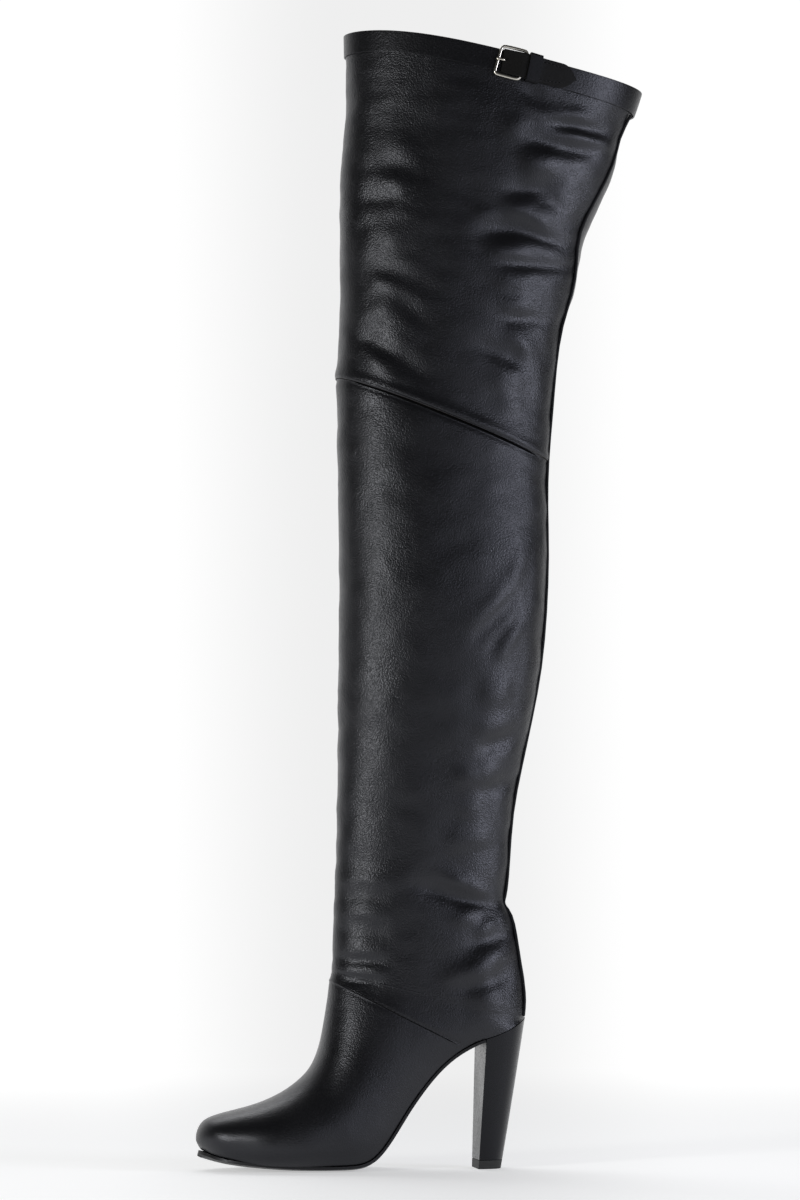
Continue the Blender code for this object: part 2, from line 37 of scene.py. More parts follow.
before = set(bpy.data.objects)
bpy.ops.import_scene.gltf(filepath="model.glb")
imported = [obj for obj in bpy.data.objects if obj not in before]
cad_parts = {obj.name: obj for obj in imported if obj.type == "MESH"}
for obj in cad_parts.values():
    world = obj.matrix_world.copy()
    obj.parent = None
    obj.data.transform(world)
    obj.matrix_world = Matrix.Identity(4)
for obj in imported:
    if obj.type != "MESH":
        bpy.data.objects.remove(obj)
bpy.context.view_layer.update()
print("nodes:", ", ".join(sorted(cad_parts)))

# %% [markdown]
# ## Camera
# A long lens far from the boot keeps its straight lines straight, as in a catalogue picture. The
# camera stands low, at ankle height, so that the collar bows upwards like the rim of a cup seen
# from below. The target is the middle of the picture.

# %% Place the camera
VIEW_AZIMUTH = math.radians(172)
VIEW_DISTANCE = 3.3
VIEW_TARGET = Vector((-0.0525, 0.0, 0.396))
CAMERA_HEIGHT = 0.22
FRAME_HEIGHT = 0.84
SENSOR = 36.0

view_back = Vector((math.sin(VIEW_AZIMUTH), -math.cos(VIEW_AZIMUTH), 0.0))
view_left = Vector((view_back.y, -view_back.x, 0.0))
camera_place = Vector((VIEW_TARGET.x, VIEW_TARGET.y, CAMERA_HEIGHT)) + view_back * VIEW_DISTANCE
camera_data = bpy.data.cameras.new("camera")
camera_data.sensor_width = SENSOR
camera_data.lens = SENSOR * (VIEW_TARGET - camera_place).length / FRAME_HEIGHT
camera = bpy.data.objects.new("camera", camera_data)
camera.location = camera_place
camera.rotation_mode = "QUATERNION"
camera.rotation_quaternion = (VIEW_TARGET - camera_place).to_track_quat("-Z", "Y")
bpy.context.scene.collection.objects.link(camera)
bpy.context.scene.camera = camera
bpy.context.scene.view_settings.view_transform = "Standard"
print("lens", round(camera_data.lens, 1), "mm")

# %% [markdown]
# ## Nodes and colours
# One function adds a node with its settings and links, and one turns an sRGB hex value into the
# linear colour that a shader needs. Every material below is made with these two.

# %% Helpers for materials
def linear(hex_colour):
    """The linear colour, with alpha, of an sRGB hex value such as 1a1b1d."""
    shares = [int(hex_colour[start:start + 2], 16) / 255 for start in (0, 2, 4)]
    return (*[share / 12.92 if share <= 0.04045 else ((share + 0.055) / 1.055) ** 2.4
              for share in shares], 1.0)


def add(tree, kind, inputs=None, **settings):
    """Adds a node. Each input is a value, or the output socket that is linked to it."""
    node = tree.nodes.new(kind)
    for name, value in settings.items():
        setattr(node, name, value)
    for name, value in (inputs or {}).items():
        if isinstance(value, bpy.types.NodeSocket):
            tree.links.new(value, node.inputs[name])
        else:
            node.inputs[name].default_value = value
    return node


def new_material(name):
    """A material with its node tree and its Principled shader."""
    made = bpy.data.materials.new(name)
    made.use_nodes = True
    return made, made.node_tree, made.node_tree.nodes["Principled BSDF"]


# %% [markdown]
# ## Studio
# Black leather shows nothing but what it reflects. Behind the boot everything is white, so its
# edges pick up a thin pale rim. In front the room is dim, which leaves the middle of the shaft
# dark. Close to the boot, seen from the camera, the white is a little greyer: a painted shade,
# as if the boot kept some light from it. All of it is painted on the world: a map range turns
# the way in which a ray leaves into the light that comes from there.

# %% Paint the room
WHITE_WALL = 1.05
DIM_ROOM = 0.06
# where a way lies between straight behind the boot, -1, and straight in front of it, 1
WALL_ENDS = -0.85
ROOM_STARTS = -0.15
# the painted shade of the boot: the share of light left at its middle
HALO_LIGHT = 0.82
# how far a way seen from the camera points aside, as the sine of its angle
HALO_STARTS = 0.012
HALO_ENDS = 0.065


def halo(tree, way_seen):
    """The share of light that the painted shade of the boot leaves on the white wall and paper,
    for a way seen from the camera.
    """
    sideways = add(tree, "ShaderNodeVectorMath", {0: way_seen, 1: tuple(view_left)},
                   operation="DOT_PRODUCT")
    aside = add(tree, "ShaderNodeMath", {0: sideways.outputs["Value"]}, operation="ABSOLUTE")
    shade = add(tree, "ShaderNodeMapRange",
                {"Value": aside.outputs[0], "From Min": HALO_STARTS, "From Max": HALO_ENDS,
                 "To Min": HALO_LIGHT, "To Max": 1.0}, interpolation_type="SMOOTHSTEP")
    return shade.outputs["Result"]


world = bpy.data.worlds.new("studio")
world.use_nodes = True
bpy.context.scene.world = world
tree = world.node_tree
way = add(tree, "ShaderNodeTexCoord")
parts = add(tree, "ShaderNodeSeparateXYZ", {0: way.outputs["Generated"]})
shade = add(tree, "ShaderNodeMapRange",
            {"Value": parts.outputs["Y"], "From Min": WALL_ENDS, "From Max": ROOM_STARTS,
             "To Min": WHITE_WALL, "To Max": DIM_ROOM}, interpolation_type="SMOOTHSTEP")
wall = add(tree, "ShaderNodeMath",
           {0: shade.outputs["Result"], 1: halo(tree, way.outputs["Generated"])},
           operation="MULTIPLY")
tree.links.new(wall.outputs[0], tree.nodes["Background"].inputs["Color"])
print("light of the wall", WHITE_WALL, "and of the room", DIM_ROOM)

# %% [markdown]
# ## Softboxes
# A narrow upright softbox on the left draws one clean line down the front of the shaft, and a
# wide one on the right draws the broad soft glow that shows up the creases. A dim one between
# the wide one and the camera softens the edge of that glow. The last hangs high behind the boot
# and lights the paper and the rims. Lengths are in metres, and angles in degrees.

# %% Hang the softboxes
SOFTBOXES = (
    # name         angle  away  high  width tall  watts  colour
    ("left_strip",    43,  1.9, 0.42, 0.34, 0.50,  12.0, "fafaf6"),
    ("right_wide",   -67,  2.1, 0.54, 0.76, 0.98,  15.0, "f1f3ff"),
    ("right_dim",    -36,  2.1, 0.46, 0.90, 0.54,   3.2, "f1f3ff"),
    ("top_fill",     160,  1.4, 1.90, 1.60, 0.80,  12.0, "ffffff"),
)


def softbox(name, angle, distance, height, width, tall, power, colour):
    """An upright softbox. Its angle is measured from the camera's side, positive to the left."""
    lamp = bpy.data.lights.new(name, "AREA")
    lamp.shape = "RECTANGLE"
    lamp.size = width
    lamp.size_y = tall
    lamp.energy = power
    lamp.color = linear(colour)[:3]
    made = bpy.data.objects.new(name, lamp)
    turn = math.radians(angle)
    way_out = view_back * math.cos(turn) + view_left * math.sin(turn)
    made.location = Vector((VIEW_TARGET.x, 0.0, height)) + way_out * distance
    made.rotation_mode = "QUATERNION"
    made.rotation_quaternion = (-way_out).to_track_quat("-Z", "Y")
    bpy.context.scene.collection.objects.link(made)


for row in SOFTBOXES:
    softbox(*row)
print("softboxes:", ", ".join(row[0] for row in SOFTBOXES))

# %% [markdown]
# ## Paper floor
# The floor is matt white paper that sweeps up behind the boot without a visible bend. A wide
# flat disc is enough: its far edge lies where the paper already has the tone of the wall.

# %% Lay the floor
FLOOR_RADIUS = 4.0
FLOOR_CORNERS = 96

bpy.ops.object.select_all(action="DESELECT")
bpy.ops.mesh.primitive_circle_add(vertices=FLOOR_CORNERS, radius=FLOOR_RADIUS, fill_type="NGON",
                                  location=(VIEW_TARGET.x, 0.0, 0.0))
floor = bpy.context.object
floor.name = "floor"
bpy.ops.object.transform_apply(location=True)
print("floor", FLOOR_RADIUS, "m in radius")

# %% [markdown]
# ## White paper
# Near the boot the paper is lit by the lamps, which keeps the contact shadow, and it glows
# faintly as well, a painted light. Further back it glows with just the tone of the wall, so the
# two melt together. In front, out of the picture, it fades to grey and its glow drops, a painted
# shade, or the lower leg would mirror it. Seen from the camera, its glow near the boot is dimmed
# by the same painted shade of the boot as the wall. Back and front are measured in metres along
# Y, which runs nearly towards the camera.

# %% Colour the paper
PAPER_WHITE = "eeeff0"
FRONT_SHADE_GREY = "303030"
BACK_STARTS = -0.20
BACK_ENDS = -1.50
FRONT_STARTS = 0.45
FRONT_ENDS = 0.90
FRONT_LIGHT = 0.42
NEAR_GLOW = 0.52

paper, tree, shader = new_material("matt_white_paper")
shader.inputs["Roughness"].default_value = 0.75
shader.inputs["Specular IOR Level"].default_value = 0.0
place = add(tree, "ShaderNodeTexCoord").outputs["Object"]
parts = add(tree, "ShaderNodeSeparateXYZ", {0: place})
back = add(tree, "ShaderNodeMapRange",
           {"Value": parts.outputs["Y"], "From Min": BACK_STARTS, "From Max": BACK_ENDS,
            "To Min": 0.0, "To Max": 1.0}, interpolation_type="SMOOTHSTEP")
front = add(tree, "ShaderNodeMapRange",
            {"Value": parts.outputs["Y"], "From Min": FRONT_STARTS, "From Max": FRONT_ENDS,
             "To Min": 1.0, "To Max": FRONT_LIGHT}, interpolation_type="SMOOTHSTEP")
lit = add(tree, "ShaderNodeMix", {"Factor": back.outputs[0], 6: linear(PAPER_WHITE),
                                  7: linear("000000")}, data_type="RGBA")
# painted shade in front: the paper turns grey
kept = add(tree, "ShaderNodeMix", {"Factor": front.outputs[0], 6: linear(FRONT_SHADE_GREY)},
           data_type="RGBA")
tree.links.new(lit.outputs[2], kept.inputs[7])
tree.links.new(kept.outputs[2], shader.inputs["Base Color"])
from_camera = add(tree, "ShaderNodeVectorMath", {0: place, 1: tuple(camera_place)},
                  operation="SUBTRACT")
way_seen = add(tree, "ShaderNodeVectorMath", {0: from_camera.outputs["Vector"]},
               operation="NORMALIZE")
# painted light: the paper glows, faintly near the boot and as bright as the wall further back
glow = add(tree, "ShaderNodeMapRange", {"Value": back.outputs[0], "To Min": NEAR_GLOW,
                                        "To Max": WHITE_WALL})
dimmed = add(tree, "ShaderNodeMath", {0: glow.outputs[0], 1: front.outputs[0]},
             operation="MULTIPLY")
# painted shade of the boot, dimming the glow near it as seen from the camera
haloed = add(tree, "ShaderNodeMath",
             {0: dimmed.outputs[0], 1: halo(tree, way_seen.outputs["Vector"])},
             operation="MULTIPLY")
shader.inputs["Emission Color"].default_value = (1.0, 1.0, 1.0, 1.0)
tree.links.new(haloed.outputs[0], shader.inputs["Emission Strength"])
floor.data.materials.append(paper)
print("paper:", paper.name)

# %% [markdown]
# ## Black calf leather
# The upper is chrome-tanned calf, dyed black and finished with a thin acrylic top coat, which
# gives it a broad satin shine. The pebble of such a skin is about half a millimetre. It is drawn
# at just under 1 mm, or the picture would not show it, and small wrinkles break it up. Wear
# makes the shine uneven over a few centimetres. The foot was stretched over a last, which drew
# the grain flat at the toe, so the pebble fades out from the ankle down. The same recipe serves
# the other leathers, with other numbers, so it is one function.

# %% Recipe for leather
TOE_TOP = 0.030
ANKLE = 0.120
TOE_GRAIN = 0.25
LEG_GRAIN = 0.70
WORN_PATCH = 55 * MM
WRINKLE = 20 * MM
SHINE_TINT = "f3f5ff"
# how much rougher or smoother the wear and the pebble make the skin
WORN_DULL = 0.06
WORN_BRIGHT = 0.05
GAP_DULL = 0.10
MIDDLE_BRIGHT = 0.05
# pores and wrinkles, against the size and the depth of the pebble
PORE_SIZE = 2.5
PORE_DEPTH = 0.7
PORE_STRENGTH = 0.12
WRINKLE_DEPTH = 3
WRINKLE_STRENGTH = 0.35


def leather(name, colour, worn, roughness, shine_level, pebble, height):
    """A dyed leather. Pebble is the size of its grain in metres, and height its depth."""
    made, tree, shader = new_material(name)
    place = add(tree, "ShaderNodeTexCoord").outputs["Object"]
    patches = add(tree, "ShaderNodeTexNoise", {"Vector": place, "Scale": 1 / WORN_PATCH,
                                               "Detail": 3.0, "Roughness": 0.55})
    cells = add(tree, "ShaderNodeTexVoronoi", {"Vector": place, "Scale": 1 / pebble,
                                               "Randomness": 1.0}, feature="SMOOTH_F1")
    pores = add(tree, "ShaderNodeTexNoise",
                {"Vector": place, "Scale": 1 / (pebble * PORE_SIZE), "Detail": 4.0,
                 "Roughness": 0.65})
    wrinkles = add(tree, "ShaderNodeTexNoise", {"Vector": place, "Scale": 1 / WRINKLE,
                                                "Detail": 1.0, "Roughness": 0.5,
                                                "Distortion": 0.4})
    # colour and shine drift with the worn patches, and a pebble shines most in its middle
    colours = add(tree, "ShaderNodeMix", {"Factor": patches.outputs["Fac"], 6: linear(colour),
                                          7: linear(worn)}, data_type="RGBA")
    tree.links.new(colours.outputs[2], shader.inputs["Base Color"])
    shine = add(tree, "ShaderNodeMapRange",
                {"Value": patches.outputs["Fac"], "From Min": 0.3, "From Max": 0.7,
                 "To Min": roughness - WORN_BRIGHT, "To Max": roughness + WORN_DULL})
    speckle = add(tree, "ShaderNodeMapRange",
                  {"Value": cells.outputs["Distance"], "From Min": 0.2, "From Max": 0.9,
                   "To Min": -MIDDLE_BRIGHT, "To Max": GAP_DULL})
    sum_shine = add(tree, "ShaderNodeMath", {0: shine.outputs[0], 1: speckle.outputs[0]},
                    operation="ADD")
    tree.links.new(sum_shine.outputs[0], shader.inputs["Roughness"])
    shader.inputs["IOR"].default_value = 1.5
    shader.inputs["Specular IOR Level"].default_value = shine_level
    shader.inputs["Specular Tint"].default_value = linear(SHINE_TINT)
    # wrinkles, pores and pebble are three bumps, each laid over the one before
    parts = add(tree, "ShaderNodeSeparateXYZ", {0: place})
    grain = add(tree, "ShaderNodeMapRange", {"Value": parts.outputs["Z"], "From Min": TOE_TOP,
                                             "From Max": ANKLE, "To Min": TOE_GRAIN,
                                             "To Max": LEG_GRAIN})
    soft = add(tree, "ShaderNodeBump",
               {"Height": wrinkles.outputs["Fac"], "Strength": WRINKLE_STRENGTH,
                "Distance": height * WRINKLE_DEPTH})
    rough = add(tree, "ShaderNodeBump",
                {"Height": pores.outputs["Fac"], "Strength": PORE_STRENGTH,
                 "Distance": height * PORE_DEPTH, "Normal": soft.outputs[0]})
    fine = add(tree, "ShaderNodeBump", {"Height": cells.outputs["Distance"],
                                        "Strength": grain.outputs[0],
                                        "Distance": height, "Normal": rough.outputs[0]},
               invert=True)
    tree.links.new(fine.outputs[0], shader.inputs["Normal"])
    return made


print("wrinkles of", round(WRINKLE / MM), "mm, worn patches of", round(WORN_PATCH / MM), "mm")

# %% [markdown]
# ## The leathers and the thread
# Each line is one leather: its colour, the paler colour where it is worn, its roughness, how
# much it shines, and the size and depth of its grain. The grain is deepest on the upper, and
# the others differ mostly by their shine.

# %% Dye the leathers
# the upper: a satin black whose pebble breaks up every highlight
calf = leather("satin_black_calf", "08080a", "101012", 0.35, 0.5, 0.9 * MM, 0.34 * MM)
# the band: a smoother part of the same skin, a little less bright
trim_calf = leather("trim_black_calf", "080809", "0d0d0f", 0.36, 0.38, 1.1 * MM, 0.20 * MM)
# the strap: rubbed matt, with a trace of brown
strap_calf = leather("strap_black_calf", "0b0a09", "161512", 0.58, 0.18, 1.1 * MM, 0.10 * MM)
# painted shade: a near-black leather that gives back next to nothing, laid as dark cords
# where the seams and the stitch grooves of the strap lie in shade
painted_shade_calf = leather("painted_shade_black", "030303", "050505", 0.85, 0.04, 1.1 * MM, 0.05 * MM)
# the piping and the keeper: dull, so that they stay dark beside the upper
piping_calf = leather("piping_black_calf", "060607", "09090a", 0.60, 0.2, 1.1 * MM, 0.05 * MM)
# the heel's cover: nearly without grain, with a soft mirror image of the floor
glazed = leather("glazed_black_calf", "070708", "0b0b0c", 0.30, 0.3, 1.6 * MM, 0.02 * MM)
# folded edges: burnished, so that they catch a thin line of light
edge_calf = leather("edge_black_calf", "0a0a0b", "121214", 0.26, 0.6, 1.6 * MM, 0.02 * MM)
# the lining and the insole: goat leather, a matt grey brown
lining = leather("lining_goat_leather", "2a2725", "383430", 0.62, 0.3, 0.8 * MM, 0.05 * MM)
# the sole and its edge: waxed, with a soft dull sheen
sole_edge = leather("waxed_sole_leather", "0b0a0a", "131211", 0.42, 0.4, 2.0 * MM, 0.03 * MM)
# the thread: waxed linen, its fibres drawn coarser than real at 0.4 mm
thread = leather("waxed_linen_thread", "0c0c0d", "141415", 0.45, 0.4, 0.4 * MM, 0.03 * MM)
leathers = (calf, trim_calf, strap_calf, painted_shade_calf, piping_calf, glazed, edge_calf, lining,
            sole_edge, thread)
print("leathers:", ", ".join(made.name for made in leathers))

# %% [markdown]
# ## Rubber and nickel
# The heel tip is black vulcanised rubber, moulded and dull, with a dusty, scuffed grain from
# walking that is drawn coarser than real. The buckle is brass wire plated with nickel and
# polished, a warm white metal whose plating carries faint level hairlines.

# %% Rubber and metal
DUST_SIZE = 1.5 * MM
SCUFF_DEPTH = 0.1 * MM
HAIR_LENGTH = 1.2 * MM
HAIR_STRETCH = 9.0


def rubber_material():
    """Moulded rubber, dull, with a dusty scuffed grain."""
    made, tree, shader = new_material("black_rubber")
    place = add(tree, "ShaderNodeTexCoord").outputs["Object"]
    dust = add(tree, "ShaderNodeTexNoise", {"Vector": place, "Scale": 1 / DUST_SIZE,
                                            "Detail": 6.0})
    colours = add(tree, "ShaderNodeMix", {"Factor": dust.outputs["Fac"], 6: linear("0e0e0e"),
                                          7: linear("242424")}, data_type="RGBA")
    tree.links.new(colours.outputs[2], shader.inputs["Base Color"])
    shader.inputs["Roughness"].default_value = 0.68
    bump = add(tree, "ShaderNodeBump", {"Height": dust.outputs["Fac"], "Strength": 0.4,
                                        "Distance": SCUFF_DEPTH})
    tree.links.new(bump.outputs[0], shader.inputs["Normal"])
    return made


def nickel_material():
    """Polished nickel plate with faint hairlines."""
    made, tree, shader = new_material("polished_nickel")
    place = add(tree, "ShaderNodeTexCoord").outputs["Object"]
    stretched = add(tree, "ShaderNodeMapping", {"Vector": place,
                                                "Scale": (1.0, 1.0, HAIR_STRETCH)})
    hairs = add(tree, "ShaderNodeTexNoise", {"Vector": stretched.outputs[0],
                                             "Scale": 1 / HAIR_LENGTH, "Detail": 4.0})
    shine = add(tree, "ShaderNodeMapRange", {"Value": hairs.outputs["Fac"], "From Min": 0.3,
                                             "From Max": 0.7, "To Min": 0.12, "To Max": 0.24})
    tree.links.new(shine.outputs[0], shader.inputs["Roughness"])
    shader.inputs["Base Color"].default_value = linear("d9d5cb")
    shader.inputs["Metallic"].default_value = 1.0
    return made


rubber = rubber_material()
nickel = nickel_material()
print("materials:", len(bpy.data.materials))

# %% [markdown]
# ## Copying a solid
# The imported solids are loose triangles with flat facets. A copy is merged, its triangles are
# joined back into four-sided faces, its edges are bevelled, and subdivision rounds the rest.
# The bevel matters: without it the subdivision would pull every edge of the wall away.

# %% Helpers for pieces
WELD = 0.02 * MM
FLAT_TURN = 50
EDGE_TURN = 40


def pick(piece):
    """Makes the piece the only selected object, and the active one."""
    bpy.ops.object.select_all(action="DESELECT")
    piece.select_set(True)
    bpy.context.view_layer.objects.active = piece


def finish_with(piece, kind, **settings):
    """Adds a modifier and applies it."""
    pick(piece)
    modifier = piece.modifiers.new(kind.lower(), kind)
    for name, value in settings.items():
        setattr(modifier, name, value)
    bpy.ops.object.modifier_apply(modifier=modifier.name)


def merged_copy(node, name):
    """A copy of a CAD node with its triangles merged into four-sided faces."""
    pick(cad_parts[node])
    bpy.ops.object.duplicate()
    piece = bpy.context.object
    piece.name = name
    piece.data.name = name
    piece.data.materials.clear()
    bpy.ops.object.mode_set(mode="EDIT")
    bpy.ops.mesh.select_all(action="SELECT")
    bpy.ops.mesh.remove_doubles(threshold=WELD)
    bpy.ops.mesh.tris_convert_to_quads(face_threshold=math.radians(FLAT_TURN),
                                       shape_threshold=math.pi)
    bpy.ops.mesh.customdata_custom_splitnormals_clear()
    bpy.ops.object.mode_set(mode="OBJECT")
    return piece


def triangles(piece):
    """How many triangles the piece has."""
    return sum(len(face.vertices) - 2 for face in piece.data.polygons)


def round_off(piece, width, levels, angle=EDGE_TURN):
    """Bevels the edges that turn by more than the angle in degrees, then subdivides all."""
    if width:
        finish_with(piece, "BEVEL", width=width, segments=2, limit_method="ANGLE",
                    angle_limit=math.radians(angle))
    if levels:
        finish_with(piece, "SUBSURF", levels=levels, render_levels=levels)
    pick(piece)
    bpy.ops.object.shade_smooth()


def hand_over(piece, slot, *nodes):
    """Hangs the piece on the frame's root, hides the solids that it replaces and prints its
    triangles.
    """
    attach(piece, "root")
    if nodes:
        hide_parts(*nodes)
    print(piece.name, triangles(piece), "triangles")


def wear(piece, finish, slot, *nodes):
    """Gives the piece its material, hangs it on the frame's root and hides the solids it replaces.
    """
    piece.data.materials.clear()
    piece.data.materials.append(finish)
    hand_over(piece, slot, *nodes)


# %% [markdown]
# ## Creases
# Leather that has been worn folds where the leg bends: at the ankle, behind the knee and where
# the wide top slips down. Sculpting or a simulation could make such folds too, but a table keeps
# each one where it is wanted. A crease is a soft trough or ridge along a short curved line on
# the side of the boot. The table gives its start, middle and end, each in millimetres ahead of
# the origin and above the floor, and then its half width and depth. A trough is negative.

# %% List the creases
CREASES = (
    # side: 1 outer, 0 both
    # side  start x, z    middle x, z   end x, z      half  depth
    # the puckers that fan out from under the buckle
    (1,     -130, 752,    -141, 744,    -152, 735,    5.0,  -1.6),
    (1,     -128, 744,    -140, 735,    -150, 730,    4.0,   1.0),
    (1,     -126, 710,    -127, 724,    -142, 731,    6.0,   2.0),
    (0,     -140, 731,    -166, 733,    -192, 729,    5.0,   1.8),
    (0,     -142, 726,    -174, 725,    -200, 719,    5.0,  -2.4),
    (0,     -150, 718,    -182, 717,    -206, 713,    4.5,   1.8),
    (0,     -130, 714,    -159, 710,    -198, 706,    5.5,  -2.6),
    # the slack of the thigh behind
    (1,     -128, 695,    -144, 698,    -162, 696,   11.0,   2.9),
    (0,     -114, 679,    -141, 680,    -166, 687,    6.0,  -2.5),
    (1,     -112, 668,    -138, 663,    -162, 645,    7.0,   2.9),
    (1,     -139, 675,    -152, 673,    -165, 666,    5.0,  -1.6),
    (1,      -96, 657,    -106, 661,    -118, 660,    6.0,   1.1),
    (0,      -92, 647,    -138, 650,    -178, 635,    7.0,  -3.1),
    (1,     -104, 635,    -122, 637,    -144, 635,    7.0,   2.0),
    (0,     -108, 627,    -146, 628,    -182, 627,    4.5,  -2.2),
    (1,     -111, 615,    -127, 616,    -146, 615,    7.0,   1.8),
    (1,     -113, 597,    -128, 599,    -144, 598,    7.0,   1.6),
    (0,     -110, 589,    -135, 590,    -162, 590,    5.0,  -1.5),
    (1,     -117, 584,    -132, 574,    -143, 558,    6.0,   2.0),
    (0,      -92, 573,    -119, 564,    -142, 558,    6.0,  -2.0),
    (1,     -106, 544,    -123, 548,    -139, 545,   10.0,   1.8),
    (1,     -112, 527,    -126, 530,    -138, 529,    8.0,   1.0),
    # the front of the thigh, where it hangs in slanting drapes
    (1,      -32, 703,     -46, 707,     -62, 700,    9.0,   1.1),
    (1,      -24, 695,     -39, 696,     -55, 694,    6.0,  -0.8),
    (1,      -32, 682,     -44, 683,     -56, 680,    7.0,   0.8),
    (0,      -14, 676,     -35, 673,     -50, 674,    6.0,  -1.1),
    (1,      -30, 661,     -47, 663,     -68, 662,    6.0,   0.8),
    (1,      -30, 645,     -42, 646,     -54, 638,    9.0,   1.0),
    (0,      -20, 627,     -47, 619,     -82, 597,    6.5,  -1.2),
    (1,      -24, 614,     -42, 613,     -74, 598,    7.0,   1.1),
    (1,      -40, 606,     -55, 594,     -76, 574,    6.0,  -1.3),
    (1,      -16, 588,     -32, 596,     -54, 597,    7.0,   1.2),
    (0,      -12, 585,     -40, 566,     -76, 538,    6.5,  -1.5),
    (1,      -18, 570,     -36, 555,     -54, 543,    7.0,   1.1),
    # the knee seam, a pale lip over a dark groove
    (0,       40, 572,     -82, 525,    -200, 479,    3.0,   1.1),
    (0,       40, 567,     -82, 520,    -200, 474,    2.2,  -0.8),
    # the calf
    (1,      -84, 367,    -109, 387,    -130, 409,    5.5,   2.1),
    (1,     -124, 402,    -130, 416,    -134, 436,    6.0,   1.5),
    (1,      -92, 360,    -115, 381,    -133, 403,    5.0,  -2.0),
    (1,      -97, 359,    -117, 376,    -136, 398,    4.5,   1.5),
    (1,     -104, 352,    -121, 373,    -136, 393,    5.0,  -2.0),
    (1,     -114, 348,    -123, 367,    -138, 386,    5.5,   2.1),
    (1,     -100, 325,    -115, 329,    -131, 333,   10.0,   2.0),
    (1,      -93, 303,    -113, 306,    -133, 311,    7.0,   2.0),
    (0,      -98, 289,    -118, 295,    -138, 303,    6.0,  -2.4),
    (1,      -79, 274,    -102, 271,    -126, 279,    6.5,   2.0),
    (0,      -98, 259,    -119, 265,    -138, 275,    6.0,  -2.1),
    (1,      -86, 248,     -97, 249,    -110, 251,    6.0,   1.1),
    (1,      -74, 226,     -96, 227,    -120, 233,    7.0,   1.4),
    # the ankle, pinched in behind
    (0,      -74, 203,     -94, 196,    -120, 189,    5.0,   2.1),
    (0,      -48, 202,     -83, 190,    -132, 181,    7.0,  -3.0),
    (1,      -84, 169,     -94, 172,    -106, 171,    5.0,   0.9),
    (1,     -101, 160,    -110, 167,    -117, 175,    4.0,   1.1),
    (0,      -88, 160,    -112, 158,    -136, 169,    5.5,  -1.5),
    (1,      -70, 130,    -103, 139,    -136, 159,    7.0,   2.2),
    (1,      -82, 125,    -112, 129,    -138, 144,    6.0,  -1.7),
    (1,      -98, 150,    -108, 126,    -112,  92,   11.0,   2.6),
    # the ridge across the heel and the seam of the vamp below it
    (1,      -76, 132,    -104, 145,    -134, 160,    5.0,   0.6),
    (0,       16, 139,     -45, 108,    -112,  75,    1.8,  -0.5),
    # the swell of the foot at its outer ball
    (1,       70,  14,      34,  14,      -8,  18,   16.0,   2.8),
    # the ankle, gathered in front
    (0,       -2, 213,     -25, 211,     -46, 209,    5.0,  -0.5),
    (0,       -2, 202,     -25, 200,     -46, 199,    5.0,   0.4),
    (0,       -2, 190,     -25, 188,     -50, 187,    5.0,  -0.7),
    (0,       -2, 178,     -25, 177,     -48, 176,    5.0,   0.7),
    (0,        0, 167,     -25, 164,     -48, 163,    4.5,  -0.9),
    (0,        2, 153,     -25, 151,     -46, 150,    4.5,   1.0),
    (0,        4, 146,     -25, 144,     -44, 143,    3.5,  -0.9),
    (0,        6, 139,     -25, 137,     -44, 136,    4.0,   0.8),
    (0,        6, 132,     -22, 130,     -40, 129,    3.5,  -0.7),
)
print("creases:", len(CREASES))

# %% [markdown]
# ### The lift of a crease
# The nearer a place is to the line of a crease, the more it is lifted, in the shape of a bell.
# Leather sags, so the bell is wider above the line than below it, and it fades out towards both
# ends. A crease of one side fades out across the middle of the boot. Slack is the small uneven
# swell of soft leather everywhere between the creases, and the firm foot has none.

# %% Measure the lift
CREASE_POINTS = 24
CREASE_FADE = 0.40
CREASE_SLUMP = 0.25
MIDDLE_WIDTH = 12 * MM
SLACK_HEIGHT = 0.7 * MM
SLACK_SIZE = 26 * MM
SLACK_SQUEEZE = 1.6
FIRM_HEIGHT = 0.10
SOFT_SPAN = 0.08


def crease_lift(places, crease):
    """How far one crease lifts each of the places, an array of points in metres."""
    side, half, depth = crease[0], crease[-2], crease[-1]
    start, middle, end = (np.array(crease[number:number + 2]) for number in (1, 3, 5))
    along = np.linspace(0, 1, CREASE_POINTS)[:, None]
    pull = 2 * middle - (start + end) / 2
    line = (start * (1 - along) ** 2 + pull * 2 * along * (1 - along) + end * along ** 2) * MM
    gaps = np.hypot(places[:, None, 0] - line[None, :, 0], places[:, None, 2] - line[None, :, 1])
    nearest = gaps.argmin(axis=1)
    steps = np.gradient(line, axis=0)[nearest]
    offsets = places[:, (0, 2)] - line[nearest]
    ahead = (offsets * steps).sum(axis=1) / (steps ** 2).sum(axis=1)
    ahead = np.clip(ahead, np.where(nearest > 0, -0.5, 0),
                    np.where(nearest < CREASE_POINTS - 1, 0.5, 0))
    across = offsets - steps * ahead[:, None]
    gap = np.hypot(across[:, 0], across[:, 1])
    slump = 1 + CREASE_SLUMP * across[:, 1] / np.maximum(gap, 1e-9)
    share = (nearest + ahead) / (CREASE_POINTS - 1)
    fade = np.clip(np.minimum(share, 1 - share) / CREASE_FADE, 0, 1)
    fade = fade * fade * (3 - 2 * fade)
    lift = depth * MM * np.exp(-(gap / (half * MM * slump)) ** 2) * fade
    if side:
        lift = lift * np.clip(places[:, 1] * side / MIDDLE_WIDTH + 0.5, 0, 1)
    return lift


